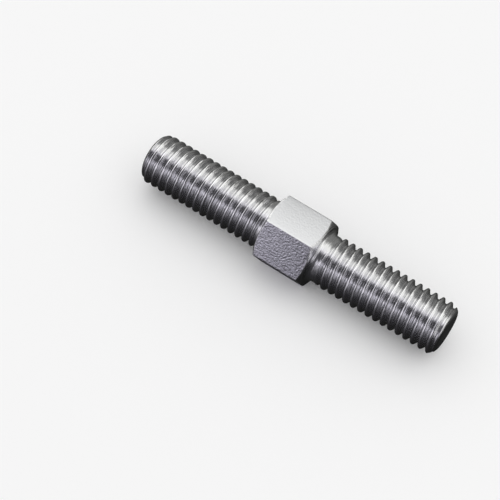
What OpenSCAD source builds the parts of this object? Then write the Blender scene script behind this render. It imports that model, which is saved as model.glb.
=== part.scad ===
// Double-ended adjusting stud: one forged and rolled piece, with a hex grip in the middle,
// a right-hand thread on the +X end and a left-hand thread on the -X end.
// It lies along X on one flat of the hex. The origin is the middle of the hex.

/* [Hex grip] */
// Width across the flats
hex_af = 10; // [9:0.5:13]
// Length of the hex along the stud
hex_len = 8.5; // [6:0.5:14]
// Width of flat lost to the end chamfer at the middle of each side
hex_rim = 0.25; // [0.1:0.05:0.5]

/* [Threads] */
// Nominal diameter over the crests
thread_d = 8; // [7:0.25:8.5]
// Distance from one crest to the next
pitch = 1.25; // [1:0.05:1.5]
// Turns over which the thread grows out of the neck
runout = 0.75; // [0.5:0.25:1.5]

/* [Ends] */
// Length of each end, from the hex to the tip
leg_len = 21.15; // [14:0.05:23]
// Plain neck before the right-hand thread
right_neck = 1.1; // [0.3:0.1:3]
// Plain neck before the left-hand thread
left_neck = 0.4; // [0.3:0.1:3]
// How far the neck stays below the crests
neck_drop = 0.25; // [0.1:0.05:0.5]
// Fillet where the neck meets the hex
neck_fillet = 0.35; // [0.1:0.05:0.4]
// Diameter of the flat face at each tip
tip_d = 5.8; // [4:0.1:6.2]
// Length of the chamfer at each tip
tip_len = 1.1; // [0.6:0.1:2]

/* [Clocking] */
// Angle round the stud at which the right-hand thread starts
right_start = 215; // [0:5:355]
// Angle round the stud at which the left-hand thread starts
left_start = 75; // [0:5:355]

/* [Hidden] */

// Metric thread section: 60 degree flanks, flat crest, rounded root
half_flank = 30;
sharp_h = pitch / 2 / tan(half_flank);
thread_depth = sharp_h * 17 / 24;
crest_w = pitch / 8;
root_rad = sharp_h / 6;
root_half = root_rad * cos(half_flank);
root_rise = root_rad * (1 - sin(half_flank));
flank_depth = thread_depth - root_rise;
flank_w = flank_depth * tan(half_flank);

// Each point is a distance along one pitch and a depth below the crest
thread_section = [
    [0, 0],
    [crest_w, 0],
    [crest_w + flank_w, flank_depth],
    [crest_w + flank_w + root_half, thread_depth],
    [crest_w + flank_w + 2 * root_half, flank_depth]
];
steps_per_turn = 30;

// Radii and places along one end, measured from the middle of the hex
crest_r = thread_d / 2;
root_r = crest_r - thread_depth;
neck_r = crest_r - neck_drop;
tip_r = tip_d / 2;
shoulder_z = hex_len / 2;
tip_z = shoulder_z + leg_len;

// Where two shapes merge, one reaches this far into the other
overlap = 0.06;
// How far cutting shapes stand clear of what they cut
clear = 1;
round_steps = 96;
fillet_steps = 24;

hex_corner_r = hex_af / 2 / cos(30);
hex_face_r = hex_af / 2 - hex_rim;
hex_chamfer = 30;

// Share of the full thread depth reached at height z, easing in over the run-out
function grown(z, from) =
    let (t = min(1, max(0, (z - from) / (runout * pitch))))
    t * t * (3 - 2 * t);

// Point of the thread surface at a step of the helix and a place in its section
function thread_point(step, place, base_z, from) =
    let (
        angle = 360 * step / steps_per_turn,
        z = base_z + pitch * step / steps_per_turn + place[0],
        buried_r = neck_r - overlap,
        r = buried_r + (crest_r - place[1] - buried_r) * grown(z, from)
    )
    [r * cos(angle), r * sin(angle), z];

// Right-hand threaded rod from one turn below from_z to past to_z
module threaded_rod(from_z, to_z) {
    places = len(thread_section);
    last = places - 1;
    base_z = from_z - pitch;
    turns = (to_z - base_z) / pitch + 0.5;
    stations = ceil(turns * steps_per_turn);

    surface = [
        for (i = [0:stations]) for (place = thread_section)
            thread_point(i, place, base_z, from_z)
    ];
    bottom = len(surface);
    top = bottom + 1;
    poles = [[0, 0, base_z], [0, 0, base_z + turns * pitch + pitch]];

    function at(i, j) = i * places + j;

    // Strips along the helix inside one pitch
    strips = [
        for (i = [0:stations - 1]) for (j = [0:last - 1]) each [
            [at(i, j), at(i + 1, j + 1), at(i + 1, j)],
            [at(i, j), at(i, j + 1), at(i + 1, j + 1)]
        ]
    ];
    // The flank that joins each turn to the next
    joining_flank = [
        for (i = [0:stations - steps_per_turn - 1])
            let (above = i + steps_per_turn) each [
                [at(i, last), at(above + 1, 0), at(i + 1, last)],
                [at(i, last), at(above, 0), at(above + 1, 0)]
            ]
    ];
    bottom_cap = concat(
        [for (i = [0:steps_per_turn - 1]) [bottom, at(i, 0), at(i + 1, 0)]],
        [[bottom, at(steps_per_turn, 0), at(0, last)]],
        [for (j = [0:last - 1]) [bottom, at(0, j + 1), at(0, j)]]
    );
    top_start = stations - steps_per_turn;
    top_cap = concat(
        [for (i = [top_start:stations - 1]) [top, at(i + 1, last), at(i, last)]],
        [[top, at(top_start, last), at(stations, 0)]],
        [for (j = [0:last - 1]) [top, at(stations, j), at(stations, j + 1)]]
    );
    polyhedron(
        points = concat(surface, poles),
        faces = concat(strips, joining_flank, bottom_cap, top_cap),
        convexity = 10
    );
}

// Everything that a lathe leaves of one end: the flat tip and its chamfer
module tip_envelope() {
    outer_r = crest_r + clear;
    cone_start = tip_z - tip_len * (outer_r - tip_r) / (crest_r - tip_r);
    rotate_extrude($fn = round_steps)
        polygon([[0, 0], [outer_r, 0], [outer_r, cone_start], [tip_r, tip_z], [0, tip_z]]);
}

// Plain neck, running to a cone that dies into the thread root
module neck(length) {
    neck_end = shoulder_z + length;
    cone_end = neck_end + runout * pitch / 2;
    rotate_extrude($fn = round_steps)
        polygon([
            [0, 0], [neck_r, 0], [neck_r, neck_end],
            [root_r - overlap, cone_end], [0, cone_end]
        ]);
    translate([0, 0, shoulder_z - overlap])
        rotate_extrude($fn = round_steps)
            translate([neck_r - overlap, 0])
                difference() {
                    square(neck_fillet + overlap);
                    translate([neck_fillet + overlap, neck_fillet + overlap])
                        circle(neck_fillet, $fn = fillet_steps);
                }
}

// One end of the stud along +Z, with a right-hand thread
module threaded_end(neck_length, start_angle) {
    neck(neck_length);
    intersection() {
        rotate([0, 0, start_angle])
            threaded_rod(shoulder_z + neck_length, tip_z);
        tip_envelope();
    }
}

// Hex with a 30 degree chamfer at both ends, flats facing local X
module hex_grip() {
    ring_r = hex_corner_r + clear;
    ring_z = shoulder_z - (ring_r - hex_face_r) * tan(hex_chamfer);
    intersection() {
        rotate([0, 0, 30])
            cylinder(r = hex_corner_r, h = hex_len, center = true, $fn = 6);
        rotate_extrude($fn = round_steps)
            polygon([
                [0, -shoulder_z], [hex_face_r, -shoulder_z], [ring_r, -ring_z],
                [ring_r, ring_z], [hex_face_r, shoulder_z], [0, shoulder_z]
            ]);
    }
}

module stud() {
    color("silver")
        rotate([0, 90, 0]) {
            hex_grip();
            threaded_end(right_neck, right_start);
            mirror([0, 0, 1]) threaded_end(left_neck, left_start);
        }
}

stud();
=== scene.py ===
import math

import bpy
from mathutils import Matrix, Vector


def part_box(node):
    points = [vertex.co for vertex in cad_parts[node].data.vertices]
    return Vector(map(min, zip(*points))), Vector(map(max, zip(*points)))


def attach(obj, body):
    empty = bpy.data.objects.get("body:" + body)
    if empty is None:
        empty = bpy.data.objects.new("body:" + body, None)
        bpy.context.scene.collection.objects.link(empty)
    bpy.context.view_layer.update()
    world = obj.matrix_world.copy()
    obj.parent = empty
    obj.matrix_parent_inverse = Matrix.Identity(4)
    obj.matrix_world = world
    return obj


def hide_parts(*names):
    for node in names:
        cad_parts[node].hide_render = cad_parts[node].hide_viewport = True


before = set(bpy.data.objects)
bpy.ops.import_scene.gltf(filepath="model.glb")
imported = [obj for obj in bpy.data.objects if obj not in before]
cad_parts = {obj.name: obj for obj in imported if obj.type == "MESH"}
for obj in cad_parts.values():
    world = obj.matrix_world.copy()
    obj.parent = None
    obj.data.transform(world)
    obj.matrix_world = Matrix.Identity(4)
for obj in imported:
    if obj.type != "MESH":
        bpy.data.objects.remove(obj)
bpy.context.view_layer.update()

mm = 0.001
lowCorner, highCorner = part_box("stud")
tipX = highCorner.x  # the stud is as long on both sides of the hex
floorZ = lowCorner.z
print("frame loaded, stud", round(tipX * 2 / mm, 2), "mm long")

# Sizes shared by the hex, the necks and the threads
stud = {
    "hexAcrossFlats": 10 * mm,
    "hexLength": 8.5 * mm,
    "hexRim": 0.25 * mm,  # flat lost to the end chamfer
    "threadDiameter": 8 * mm,
    "pitch": 1.25 * mm,
    "runout": 0.75,  # turns over which the thread grows out of the neck
    "neckDrop": 0.25 * mm,  # how far the neck lies below the crests
    "buried": 0.02 * mm,  # how deep the thread starts under the neck
    "clear": 1 * mm,  # how far cutting shapes stand clear of what they cut
    "smoothTo": 35,  # degrees between faces up to which they are shaded as one
}
shoulderX = stud["hexLength"] / 2
crestRadius = stud["threadDiameter"] / 2
neckRadius = crestRadius - stud["neckDrop"]


# Modelling helpers

tolerance = {
    "turn": 0.001 * mm,  # between the first and last place of a turned profile
    "merge": 0.002 * mm,
    "sliver": 0.001 * mm,  # faces thinner than this are dissolved
    "cut": 0.0001 * mm,
}


def selectOnly(piece):
    bpy.ops.object.select_all(action="DESELECT")
    piece.select_set(True)
    bpy.context.view_layer.objects.active = piece


# A line through (along X, out from X) points, drawn by extruding one vertex
def drawProfile(name, points):
    bpy.ops.object.select_all(action="DESELECT")
    startX, startR = points[0]
    bpy.ops.mesh.primitive_plane_add(size=mm, location=(startX, 0, startR))
    piece = bpy.context.object
    piece.name = name
    bpy.ops.object.transform_apply(location=True, rotation=False, scale=False)
    bpy.ops.object.mode_set(mode="EDIT")
    bpy.ops.mesh.select_all(action="SELECT")
    bpy.ops.mesh.merge(type="CENTER")
    for (fromX, fromR), (toX, toR) in zip(points, points[1:]):
        bpy.ops.mesh.extrude_region_move(
            TRANSFORM_OT_translate={"value": (toX - fromX, 0, toR - fromR)})
    bpy.ops.object.mode_set(mode="OBJECT")
    return piece


# Turns a profile round the X axis, once or as a helix
def turnProfile(piece, steps, turns=1, rise=0.0):
    selectOnly(piece)
    screw = piece.modifiers.new("turn", "SCREW")
    screw.axis = "X"
    screw.angle = math.radians(360)
    screw.steps = steps
    screw.render_steps = steps
    screw.iterations = turns
    screw.screw_offset = rise
    screw.use_merge_vertices = rise == 0
    screw.merge_threshold = tolerance["turn"]
    bpy.ops.object.modifier_apply(modifier=screw.name)
    closeSeams(piece)


# Merges what meets, so that seams and poles are closed, and points the faces outwards
def closeSeams(piece):
    selectOnly(piece)
    bpy.ops.object.mode_set(mode="EDIT")
    bpy.ops.mesh.select_all(action="SELECT")
    bpy.ops.mesh.remove_doubles(threshold=tolerance["merge"])
    bpy.ops.mesh.dissolve_degenerate(threshold=tolerance["sliver"])
    bpy.ops.mesh.normals_make_consistent(inside=False)
    bpy.ops.object.mode_set(mode="OBJECT")


# Boolean of two pieces, which uses up the second
def combine(piece, other, operation):
    selectOnly(piece)
    cut = piece.modifiers.new("combine", "BOOLEAN")
    cut.operation = operation
    cut.solver = "EXACT"
    cut.object = other
    bpy.ops.object.modifier_apply(modifier=cut.name)
    bpy.data.objects.remove(other)


# Cuts off what lies past placeX, towards side (1 or -1), and closes the cut
def cutFlat(piece, placeX, side):
    selectOnly(piece)
    bpy.ops.object.mode_set(mode="EDIT")
    bpy.ops.mesh.select_all(action="SELECT")
    bpy.ops.mesh.bisect(plane_co=(placeX, 0, 0), plane_no=(side, 0, 0), use_fill=True,
                        clear_outer=True, threshold=tolerance["cut"])
    bpy.ops.object.mode_set(mode="OBJECT")


# Hex grip

hexGrip = {
    "chamferAngle": math.radians(30),
    "ringSteps": 144,
    "cornerWidth": 0.11 * mm,  # rounding of the six long edges
    "cornerSegments": 5,
    "edgeWidth": 0.11 * mm,  # and of the edges at both ends
    "edgeSegments": 3,
    "edgeFrom": 22,  # degrees between faces from which their edge is rounded
}


def roundEdges(piece, width, segments, fromDegrees):
    selectOnly(piece)
    bevel = piece.modifiers.new("edges", "BEVEL")
    bevel.width = width
    bevel.segments = segments
    bevel.limit_method = "ANGLE"
    bevel.angle_limit = math.radians(fromDegrees)
    bevel.use_clamp_overlap = False
    bpy.ops.object.modifier_apply(modifier=bevel.name)


# Rounds the six long edges, which are the only ones that run the length of the hex
def bevelCorners(piece):
    selectOnly(piece)
    bpy.ops.object.mode_set(mode="EDIT")
    bpy.ops.mesh.select_all(action="DESELECT")
    bpy.ops.object.mode_set(mode="OBJECT")
    for edge in piece.data.edges:
        first, last = (piece.data.vertices[i].co for i in edge.vertices)
        edge.select = abs(first.x - last.x) > stud["hexLength"] / 2
    bpy.ops.object.mode_set(mode="EDIT")
    bpy.ops.mesh.select_mode(type="EDGE")
    bpy.ops.mesh.bevel(offset=hexGrip["cornerWidth"], segments=hexGrip["cornerSegments"])
    bpy.ops.mesh.select_mode(type="VERT")
    bpy.ops.object.mode_set(mode="OBJECT")


# The rounding leaves a few points a hair outside the flats, and this presses them back
def pressFlats(piece):
    half = stud["hexAcrossFlats"] / 2
    for degrees in (0, 60, 120):
        flat = Vector((0, math.sin(math.radians(degrees)), math.cos(math.radians(degrees))))
        for vertex in piece.data.vertices:
            out = vertex.co.dot(flat)
            if abs(out) > half:
                vertex.co -= flat * (out - math.copysign(half, out))


def makeHexGrip():
    cornerRadius = stud["hexAcrossFlats"] / 2 / math.cos(math.radians(30))  # out to the corners
    bpy.ops.object.select_all(action="DESELECT")
    bpy.ops.mesh.primitive_cylinder_add(
        vertices=6, radius=cornerRadius, depth=stud["hexLength"],
        rotation=(0, math.radians(90), 0))
    grip = bpy.context.object
    grip.name = "hexGrip"
    bpy.ops.object.transform_apply(location=True, rotation=True, scale=True)
    bevelCorners(grip)
    faceRadius = stud["hexAcrossFlats"] / 2 - stud["hexRim"]
    ringRadius = cornerRadius + stud["clear"]
    ringX = shoulderX - (ringRadius - faceRadius) * math.tan(hexGrip["chamferAngle"])
    envelope = drawProfile("hexEnvelope", [
        (-shoulderX, 0), (-shoulderX, faceRadius), (-ringX, ringRadius),
        (ringX, ringRadius), (shoulderX, faceRadius), (shoulderX, 0)])
    turnProfile(envelope, hexGrip["ringSteps"])
    combine(grip, envelope, "INTERSECT")
    closeSeams(grip)
    roundEdges(grip, hexGrip["edgeWidth"], hexGrip["edgeSegments"], hexGrip["edgeFrom"])
    pressFlats(grip)
    return grip


# Threaded ends

threadedEnd = {
    "stepsPerTurn": 84,
    "depth": 0.64 * mm,  # a rolled and plated groove, rounded top and bottom
    "rootRound": 0.2 * mm,
    "crestRound": 0.21 * mm,
    "rootSegments": 5,
    "crestSegments": 4,
    "latheSteps": 96,
    "rightNeck": 1.1 * mm,
    "leftNeck": 0.4 * mm,
    "rightFillet": 0.8 * mm,  # where the neck meets the hex
    "leftFillet": 0.35 * mm,
    "rightCrest": 4.0565 * mm,  # where a crest passes the top of the stud
    "leftCrest": 3.8426 * mm,
    "startsBefore": 0.2,  # pitches, so that the thread starts inside the neck
    "pastTip": 0.2 * mm,  # spare length, which the tip's envelope cuts off
    "coneSunk": 0.1 * mm,  # how far below the roots the neck's cone ends
    "filletSegments": 8,
    "tipFace": 2.6 * mm,  # radius of the flat middle of each end face
    "crownRound": 1.35 * mm,  # the face falls away round it in an arc
    "crownTo": 38.5,  # degrees
    "crownSegments": 10,
    "tipChamfer": 0.95 * mm,  # from the end to where the crests reach their full radius
}
rootRadius = crestRadius - threadedEnd["depth"]


def arcPoints(centreX, centreR, radius, fromDegrees, toDegrees, segments):
    points = []
    for i in range(segments + 1):
        angle = math.radians(fromDegrees + (toDegrees - fromDegrees) * i / segments)
        points.append((centreX + radius * math.cos(angle), centreR + radius * math.sin(angle)))
    return points


# One pitch of the thread, from the bottom of one root to the next
def threadSection(crestX):
    half = stud["pitch"] / 2
    flank = 30  # degrees, as on every metric thread, and the offsets below hold for it alone
    slope = math.tan(math.radians(flank))
    rootArc = threadedEnd["rootRound"]
    crestArc = threadedEnd["crestRound"]
    crestHalf = half - (threadedEnd["depth"] + rootArc) * slope  # of the crest before rounding
    shoulder = crestHalf - crestArc * slope
    roots = threadedEnd["rootSegments"]
    crests = threadedEnd["crestSegments"]
    crestCentre = crestRadius - crestArc
    leftRoot = arcPoints(crestX - half, rootRadius + rootArc, rootArc, -90, -flank, roots)
    leftShoulder = arcPoints(crestX - shoulder, crestCentre, crestArc, 180 - flank, 90, crests)
    rightShoulder = arcPoints(crestX + shoulder, crestCentre, crestArc, 90, flank, crests)
    rightRoot = arcPoints(crestX + half, rootRadius + rootArc, rootArc, flank - 180, -90, roots)
    return leftRoot + leftShoulder + rightShoulder + rightRoot


# The thread's depth fades out into the neck
def growFromNeck(piece, neckEnd):
    buriedRadius = neckRadius - stud["buried"]
    for vertex in piece.data.vertices:
        along = (abs(vertex.co.x) - neckEnd) / (stud["runout"] * stud["pitch"])
        if along < 1:
            along = max(0, along)
            grown = along * along * (3 - 2 * along)
            radius = math.hypot(vertex.co.y, vertex.co.z)
            share = (buriedRadius + (radius - buriedRadius) * grown) / radius
            vertex.co.y *= share
            vertex.co.z *= share


# The side is 1 for the right-hand end and -1 for the left-hand one
def makeThread(name, side, neckLength, crestX):
    neckEnd = shoulderX + neckLength
    pitch = stud["pitch"]
    while crestX - pitch / 2 > neckEnd - 2 * pitch:  # back to where the thread starts
        crestX -= pitch
    section = [(side * x, r) for x, r in threadSection(crestX)]
    turns = math.ceil((tipX - crestX) / pitch) + 2  # two more, which are cut off
    thread = drawProfile(name, section)
    turnProfile(thread, threadedEnd["stepsPerTurn"], turns, side * pitch)
    growFromNeck(thread, neckEnd)
    cutFlat(thread, side * (neckEnd - threadedEnd["startsBefore"] * pitch), -side)
    cutFlat(thread, side * (tipX + threadedEnd["pastTip"]), side)
    closeSeams(thread)
    return thread


def makeTipEnvelope(side):
    outer = crestRadius + stud["clear"]
    crownRound = threadedEnd["crownRound"]
    crown = arcPoints(tipX - crownRound, threadedEnd["tipFace"], crownRound,
                      threadedEnd["crownTo"], 0, threadedEnd["crownSegments"])
    rimX, rimRadius = crown[0]
    chamferX = tipX - threadedEnd["tipChamfer"]
    startX = chamferX - (rimX - chamferX) * (outer - crestRadius) / (crestRadius - rimRadius)
    points = [(0, 0), (0, outer), (startX, outer)] + crown + [(tipX, 0)]
    envelope = drawProfile("tipEnvelope", [(side * x, r) for x, r in points])
    turnProfile(envelope, threadedEnd["latheSteps"])
    return envelope


def makeNeck(name, side, neckLength, fillet):
    neckEnd = shoulderX + neckLength
    coneEnd = neckEnd + stud["runout"] * stud["pitch"] / 2
    coneRadius = rootRadius - threadedEnd["coneSunk"]
    foot = arcPoints(shoulderX + fillet, neckRadius + fillet, fillet, 180, 270,
                     threadedEnd["filletSegments"])
    points = [(0, 0), (0, neckRadius + fillet)] + foot
    points += [(neckEnd, neckRadius), (coneEnd, coneRadius), (coneEnd, 0)]
    neck = drawProfile(name, [(side * x, r) for x, r in points])
    turnProfile(neck, threadedEnd["latheSteps"])
    return neck


def makeThreadedEnd(name, side):
    neckLength = threadedEnd[name + "Neck"]
    thread = makeThread(name + "Thread", side, neckLength, threadedEnd[name + "Crest"])
    combine(thread, makeTipEnvelope(side), "INTERSECT")
    neck = makeNeck(name + "Neck", side, neckLength, threadedEnd[name + "Fillet"])
    combine(thread, neck, "UNION")
    print(name, "end modelled,", len(thread.data.polygons), "faces")
    return thread


studBody = makeHexGrip()
print("hex grip modelled,", len(studBody.data.polygons), "faces")
rightEnd = makeThreadedEnd("right", 1)
leftEnd = makeThreadedEnd("left", -1)
combine(studBody, rightEnd, "UNION")
combine(studBody, leftEnd, "UNION")
closeSeams(studBody)
studBody.name = "adjustingStud"
selectOnly(studBody)
bpy.ops.object.shade_smooth_by_angle(angle=math.radians(stud["smoothTo"]))
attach(studBody, "root")
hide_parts("stud")
print("stud joined,", len(studBody.data.polygons), "faces")


# Shader expressions

class Wire:  # an output socket: + - * ** on it add Math nodes
    def __init__(self, sheet, socket):
        self.sheet = sheet
        self.socket = socket

    def output(self, name):  # another output of the same node
        return Wire(self.sheet, self.socket.node.outputs[name])

    def math(self, operation, first, second=0.0):
        return self.sheet.node("ShaderNodeMath", {"operation": operation}, {0: first, 1: second})

    def __add__(self, other):
        return self.math("ADD", self, other)

    def __radd__(self, other):
        return self.math("ADD", other, self)

    def __sub__(self, other):
        return self.math("SUBTRACT", self, other)

    def __rsub__(self, other):
        return self.math("SUBTRACT", other, self)

    def __mul__(self, other):
        return self.math("MULTIPLY", self, other)

    def __rmul__(self, other):
        return self.math("MULTIPLY", other, self)

    def __pow__(self, other):
        return self.math("POWER", self, other)

    def __rpow__(self, other):
        return self.math("POWER", other, self)


class Sheet:  # the node tree of a material or of the world
    def __init__(self, owner):
        owner.use_nodes = True
        self.tree = owner.node_tree

    def node(self, kind, settings, inputs, output=0):
        made = self.tree.nodes.new(kind)
        for key, value in settings.items():
            if key == "stops":
                self.setStops(made.color_ramp.elements, value)
            else:
                setattr(made, key, value)
        for key, value in inputs.items():
            self.feed(made.inputs[key], value)
        return Wire(self, made.outputs[output])

    def setStops(self, elements, stops):  # of a ramp, as (place, colour)
        while len(elements) < len(stops):
            elements.new(0.5)
        for element, (place, colour) in zip(elements, stops):
            element.position = place
            element.color = colour

    def feed(self, socket, value):
        if isinstance(value, Wire):
            self.tree.links.new(value.socket, socket)
        else:
            socket.default_value = value


def grey(level):
    return (level, level, level, 1)


def mixColour(sheet, factor, first, second, blend="MIX"):
    mixed = sheet.node("ShaderNodeMix", {"data_type": "RGBA", "blend_type": blend},
                       {"Factor": factor}, "Result")
    # the colour sockets share their names with the ones for numbers, so they are taken by place
    made = mixed.socket.node
    colours = [socket for socket in made.inputs if socket.type == "RGBA"]
    sheet.feed(colours[0], first)
    sheet.feed(colours[1], second)
    return Wire(sheet, [socket for socket in made.outputs if socket.type == "RGBA"][0])


# Finishes

# The uppermost flat of the hex, by its height, and the colour of the painted highlight that makes
# it lighter than the other flats
upperFlat = {"from": 4.94 * mm, "to": 4.985 * mm, "colour": (0.96, 0.97, 1, 1)}


def makeFinish(name, settings):
    material = bpy.data.materials.new(name)
    sheet = Sheet(material)
    principled = material.node_tree.nodes["Principled BSDF"]
    principled.inputs["Metallic"].default_value = 1.0
    place = sheet.node("ShaderNodeTexCoord", {}, {}, "Object")
    along = sheet.node("ShaderNodeSeparateXYZ", {}, {"Vector": place}, "X")
    across = along.output("Y")
    up = along.output("Z")
    cloud = sheet.node("ShaderNodeTexNoise", {}, {
        "Vector": place, "Scale": settings["cloudScale"], "Detail": 4.0, "Roughness": 0.6}, "Fac")
    grain = sheet.node("ShaderNodeTexNoise", {}, {
        "Vector": place, "Scale": settings["grainScale"], "Detail": 3.0, "Roughness": 0.55}, "Fac")
    # streaks run round the stud, as rolling and turning leave them
    stretch = settings["streakStretch"]
    rounded = sheet.node("ShaderNodeCombineXYZ", {}, {
        "X": along, "Y": across * stretch, "Z": up * stretch})
    radius = (across * across + up * up) ** 0.5
    streak = sheet.node("ShaderNodeTexNoise", {"noise_dimensions": "4D"}, {
        "Vector": rounded, "W": radius * settings["ringShare"], "Scale": settings["streakScale"],
        "Detail": 2.0, "Roughness": 0.5}, "Fac")
    # the uppermost flat is pressed smoother than the others, and the same mask paints a highlight
    # on it
    upper = sheet.node("ShaderNodeMapRange", {"interpolation_type": "SMOOTHSTEP"}, {
        "Value": up, "From Min": upperFlat["from"], "From Max": upperFlat["to"]})
    streakStrength = settings["streakStrength"] * (1.0 - upper * settings["upperSmooth"])
    colour = mixColour(sheet, cloud, settings["dark"], settings["light"])
    # painted highlight: the uppermost flat is painted lighter, standing in for the light that
    # falls on it
    colour = mixColour(sheet, upper * settings["upperPaintedLight"], colour, upperFlat["colour"])
    sheet.feed(principled.inputs["Base Color"], colour)
    roughness = settings["roughness"] + (cloud - 0.5) * settings["roughnessSpread"]
    sheet.feed(principled.inputs["Roughness"], roughness)
    streakBump = sheet.node("ShaderNodeBump", {}, {
        "Height": streak, "Strength": streakStrength,
        "Distance": settings["streakDepth"]}, "Normal")
    bump = sheet.node("ShaderNodeBump", {}, {
        "Height": grain, "Strength": settings["bumpStrength"], "Distance": settings["bumpDepth"],
        "Normal": streakBump}, "Normal")
    sheet.feed(principled.inputs["Normal"], bump)
    return material


threadFinish = {
    "dark": (0.62, 0.62, 0.64, 1), "light": (0.79, 0.79, 0.80, 1),
    "cloudScale": 900.0, "grainScale": 3000.0,
    "roughness": 0.12, "roughnessSpread": 0.1, "bumpStrength": 0.4, "bumpDepth": 0.01 * mm,
    "streakStretch": 0.12, "ringShare": 1.0, "streakScale": 4200.0,
    "streakStrength": 0.9, "streakDepth": 0.12 * mm, "upperSmooth": 0.0, "upperPaintedLight": 0.0,
}
# The hex's colours are darker and more violet than the thread's: painted shade and a painted
# violet reflection on all its flats; the spread between dark and light is random tone.
hexFinish = {
    "dark": (0.52, 0.51, 0.57, 1), "light": (0.82, 0.81, 0.88, 1),
    "cloudScale": 1500.0, "grainScale": 2400.0,
    "roughness": 0.34, "roughnessSpread": 0.12, "bumpStrength": 0.7, "bumpDepth": 0.02 * mm,
    "streakStretch": 1.0, "ringShare": 0.0, "streakScale": 3600.0,
    "streakStrength": 1.0, "streakDepth": 0.22 * mm, "upperSmooth": 0.88, "upperPaintedLight": 0.92,
}
tipFinish = dict(threadFinish, streakStretch=0.02, streakStrength=0.15, roughness=0.2)


# Where each finish goes
zones = {
    "sideTilt": 0.01,  # how far the normal of a side of the hex may lean along X
    "sideSlack": 0.01 * mm,  # how far such a face may lie inside the flats
    "tipDepth": 0.3 * mm,  # how far back from the end the crowned face reaches
}


# Gives a finish to the faces that chosen(face) picks
def assignFinish(piece, material, chosen):
    piece.data.materials.append(material)
    index = len(piece.data.materials) - 1
    for face in piece.data.polygons:
        if chosen(face):
            face.material_index = index


studBody.data.materials.clear()
assignFinish(studBody, makeFinish("brightZincThread", threadFinish), lambda face: True)


# The flats and the rounding between them, but not the turned faces
def isHexSide(face):
    radius = math.hypot(face.center.y, face.center.z)
    innerRadius = stud["hexAcrossFlats"] / 2 - zones["sideSlack"]
    return abs(face.normal.x) < zones["sideTilt"] and radius > innerRadius


def isTipFace(face):
    return abs(face.center.x) > tipX - zones["tipDepth"]


assignFinish(studBody, makeFinish("satinZincHex", hexFinish), isHexSide)
assignFinish(studBody, makeFinish("turnedZincTip", tipFinish), isTipFace)
print("finishes made")


# Studio

studio = {
    "floorColour": (0.96, 0.96, 0.96, 1),
    "floorRoughness": 0.9,
    "floorSize": 3.0,
    "skyPlain": 0.8,  # what the floor and the camera see of the sky
    "lampHeight": 0.35,
    "lampY": 0.04,
    "lampLength": 0.9,
    "lampDepth": 0.5,
    "lampGlow": 0.34,  # radiance
    # What the metal sees: brightness along a turn round the stud's axis, in degrees
    # from the back horizon over the top, and past the front horizon under it
    "glow": 1.8,  # strength of the sky, by which the levels are divided
    "bands": [
        (0, 0.22), (26, 0.22), (42, 0.28), (53, 0.5), (60, 1.0), (68, 1.12), (95, 1.12),
        (101, 0.86), (109, 0.26), (118, 0.10), (138, 0.10), (145, 0.22), (151, 0.78), (159, 1.18),
        (165, 0.94), (172, 0.64), (181, 0.42), (192, 0.25), (206, 0.12), (230, 0.04),
        (300, 0.01), (335, 0.08), (360, 0.22)],
    # The same towards the left end of the stud
    "leftBands": [
        (0, 1.2), (12, 1.6), (100, 1.7), (112, 1.1), (122, 0.9), (140, 1.1), (158, 1.25),
        (175, 1.0), (190, 0.75), (205, 0.42), (230, 0.12), (310, 0.01), (335, 0.4), (348, 1.0),
        (360, 1.2)],
    "leftEdge": (0.52, 0.72),
    # Towards the right end
    "rightBands": [
        (0, 0.23), (42, 0.27), (53, 0.52), (61, 1.06), (69, 1.2), (96, 1.2), (102, 0.85),
        (109, 0.26), (117, 0.08), (150, 0.11), (180, 0.08), (205, 0.04), (300, 0.01), (335, 0.1),
        (360, 0.23)],
    "rightEdge": (-0.05, 0.2),
    # And far towards it, up to a light spot straight ahead of the end
    "farBands": [
        (0, 1.1), (20, 1.3), (102, 1.3), (116, 0.5), (132, 0.35), (160, 0.30), (190, 0.18),
        (215, 0.07), (250, 0.03), (303, 0.03), (338, 0.08), (350, 0.3), (360, 1.1)],
    "farEdge": (0.72, 0.88),
    "spotEdge": (0.92, 0.96),
    "spot": 0.75,
    "backTint": (1.0, 1.0, 0.965, 1),
    "frontTint": (0.945, 0.92, 1.0, 1),
    "tintEdge": (-0.5, 0.3),  # from front to back
}


def makeFloor():
    bpy.ops.object.select_all(action="DESELECT")
    bpy.ops.mesh.primitive_plane_add(size=studio["floorSize"], location=(0, 0, floorZ))
    floor = bpy.context.object
    floor.name = "studioFloor"
    material = bpy.data.materials.new("paleFloor")
    sheet = Sheet(material)
    principled = material.node_tree.nodes["Principled BSDF"]
    sheet.feed(principled.inputs["Base Color"], studio["floorColour"])
    sheet.feed(principled.inputs["Roughness"], studio["floorRoughness"])
    sheet.feed(principled.inputs["Specular IOR Level"], 0.0)
    floor.data.materials.append(material)
    floor.visible_glossy = False  # the metal sees the sky's bands all round


def makeLamp():
    bpy.ops.object.light_add(type="AREA", location=(0, studio["lampY"], studio["lampHeight"]))
    lamp = bpy.context.object
    lamp.name = "softLamp"
    lamp.data.shape = "RECTANGLE"
    lamp.data.size = studio["lampLength"]
    lamp.data.size_y = studio["lampDepth"]
    area = studio["lampLength"] * studio["lampDepth"]
    lamp.data.energy = studio["lampGlow"] * math.pi * area
    lamp.visible_glossy = False


# The bands are (degrees, brightness), and turn runs from 0 to 1
def bandRamp(sheet, turn, bands):
    stops = [(degrees / 360, grey(brightness / studio["glow"])) for degrees, brightness in bands]
    return sheet.node("ShaderNodeValToRGB", {"stops": stops}, {"Fac": turn}, "Color")


def smoothStep(sheet, value, edge):
    return sheet.node("ShaderNodeMapRange", {"interpolation_type": "SMOOTHSTEP"}, {
        "Value": value, "From Min": edge[0], "From Max": edge[1]})


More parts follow.
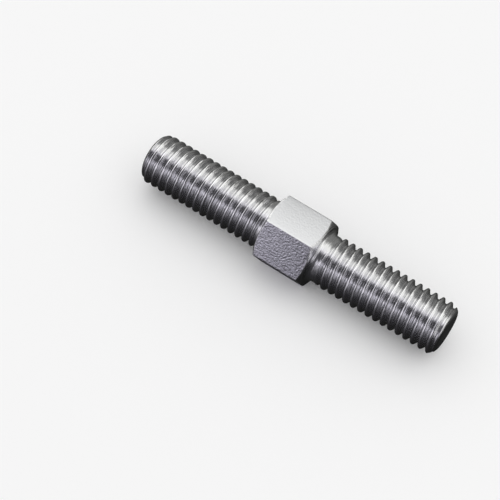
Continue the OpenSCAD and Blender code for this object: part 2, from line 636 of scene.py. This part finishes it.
def makeWorld():
    world = bpy.data.worlds.new("studioSky")
    bpy.context.scene.world = world
    sheet = Sheet(world)
    background = world.node_tree.nodes["Background"]
    glow = studio["glow"]
    glossy = sheet.node("ShaderNodeLightPath", {}, {}, "Is Glossy Ray")
    way = sheet.node("ShaderNodeTexCoord", {}, {}, "Generated")
    along = sheet.node("ShaderNodeSeparateXYZ", {}, {"Vector": way}, "X")
    depth = along.output("Y")
    height = along.output("Z")
    radians = height.math("ARCTAN2", height, depth)
    turn = radians * (0.5 / math.pi)
    turn = turn.math("FRACT", turn + 1.0)  # from 0 to 1 instead of -0.5 to 0.5
    left = smoothStep(sheet, along * -1.0, studio["leftEdge"])
    right = smoothStep(sheet, along, studio["rightEdge"])
    seen = mixColour(sheet, left, bandRamp(sheet, turn, studio["bands"]),
                     bandRamp(sheet, turn, studio["leftBands"]))
    seen = mixColour(sheet, right, seen, bandRamp(sheet, turn, studio["rightBands"]))
    far = smoothStep(sheet, along, studio["farEdge"])
    seen = mixColour(sheet, far, seen, bandRamp(sheet, turn, studio["farBands"]))
    spot = smoothStep(sheet, along, studio["spotEdge"])
    seen = mixColour(sheet, spot, seen, grey(studio["spot"] / glow))
    tint = mixColour(sheet, smoothStep(sheet, depth, studio["tintEdge"]),
                     studio["frontTint"], studio["backTint"])
    seen = mixColour(sheet, 1.0, seen, tint, "MULTIPLY")
    colour = mixColour(sheet, glossy, grey(studio["skyPlain"] / glow), seen)
    sheet.feed(background.inputs["Color"], colour)
    sheet.feed(background.inputs["Strength"], glow)


camera = {
    "place": (0.050802, -0.114104, 0.173587),
    "turn": (34.7727, -5.0603, 34.1544),  # degrees
    "lens": 106.562,  # in millimetres, as is the sensor
    "sensor": 36,
    "clipStart": 0.01,
}


def makeCamera():
    turn = [math.radians(degrees) for degrees in camera["turn"]]
    bpy.ops.object.camera_add(location=camera["place"], rotation=turn)
    view = bpy.context.object
    view.data.lens = camera["lens"]
    view.data.sensor_width = camera["sensor"]
    view.data.clip_start = camera["clipStart"]
    bpy.context.scene.camera = view


makeFloor()
makeLamp()
makeWorld()
makeCamera()
bpy.context.scene.view_settings.view_transform = "Standard"
print("studio set")
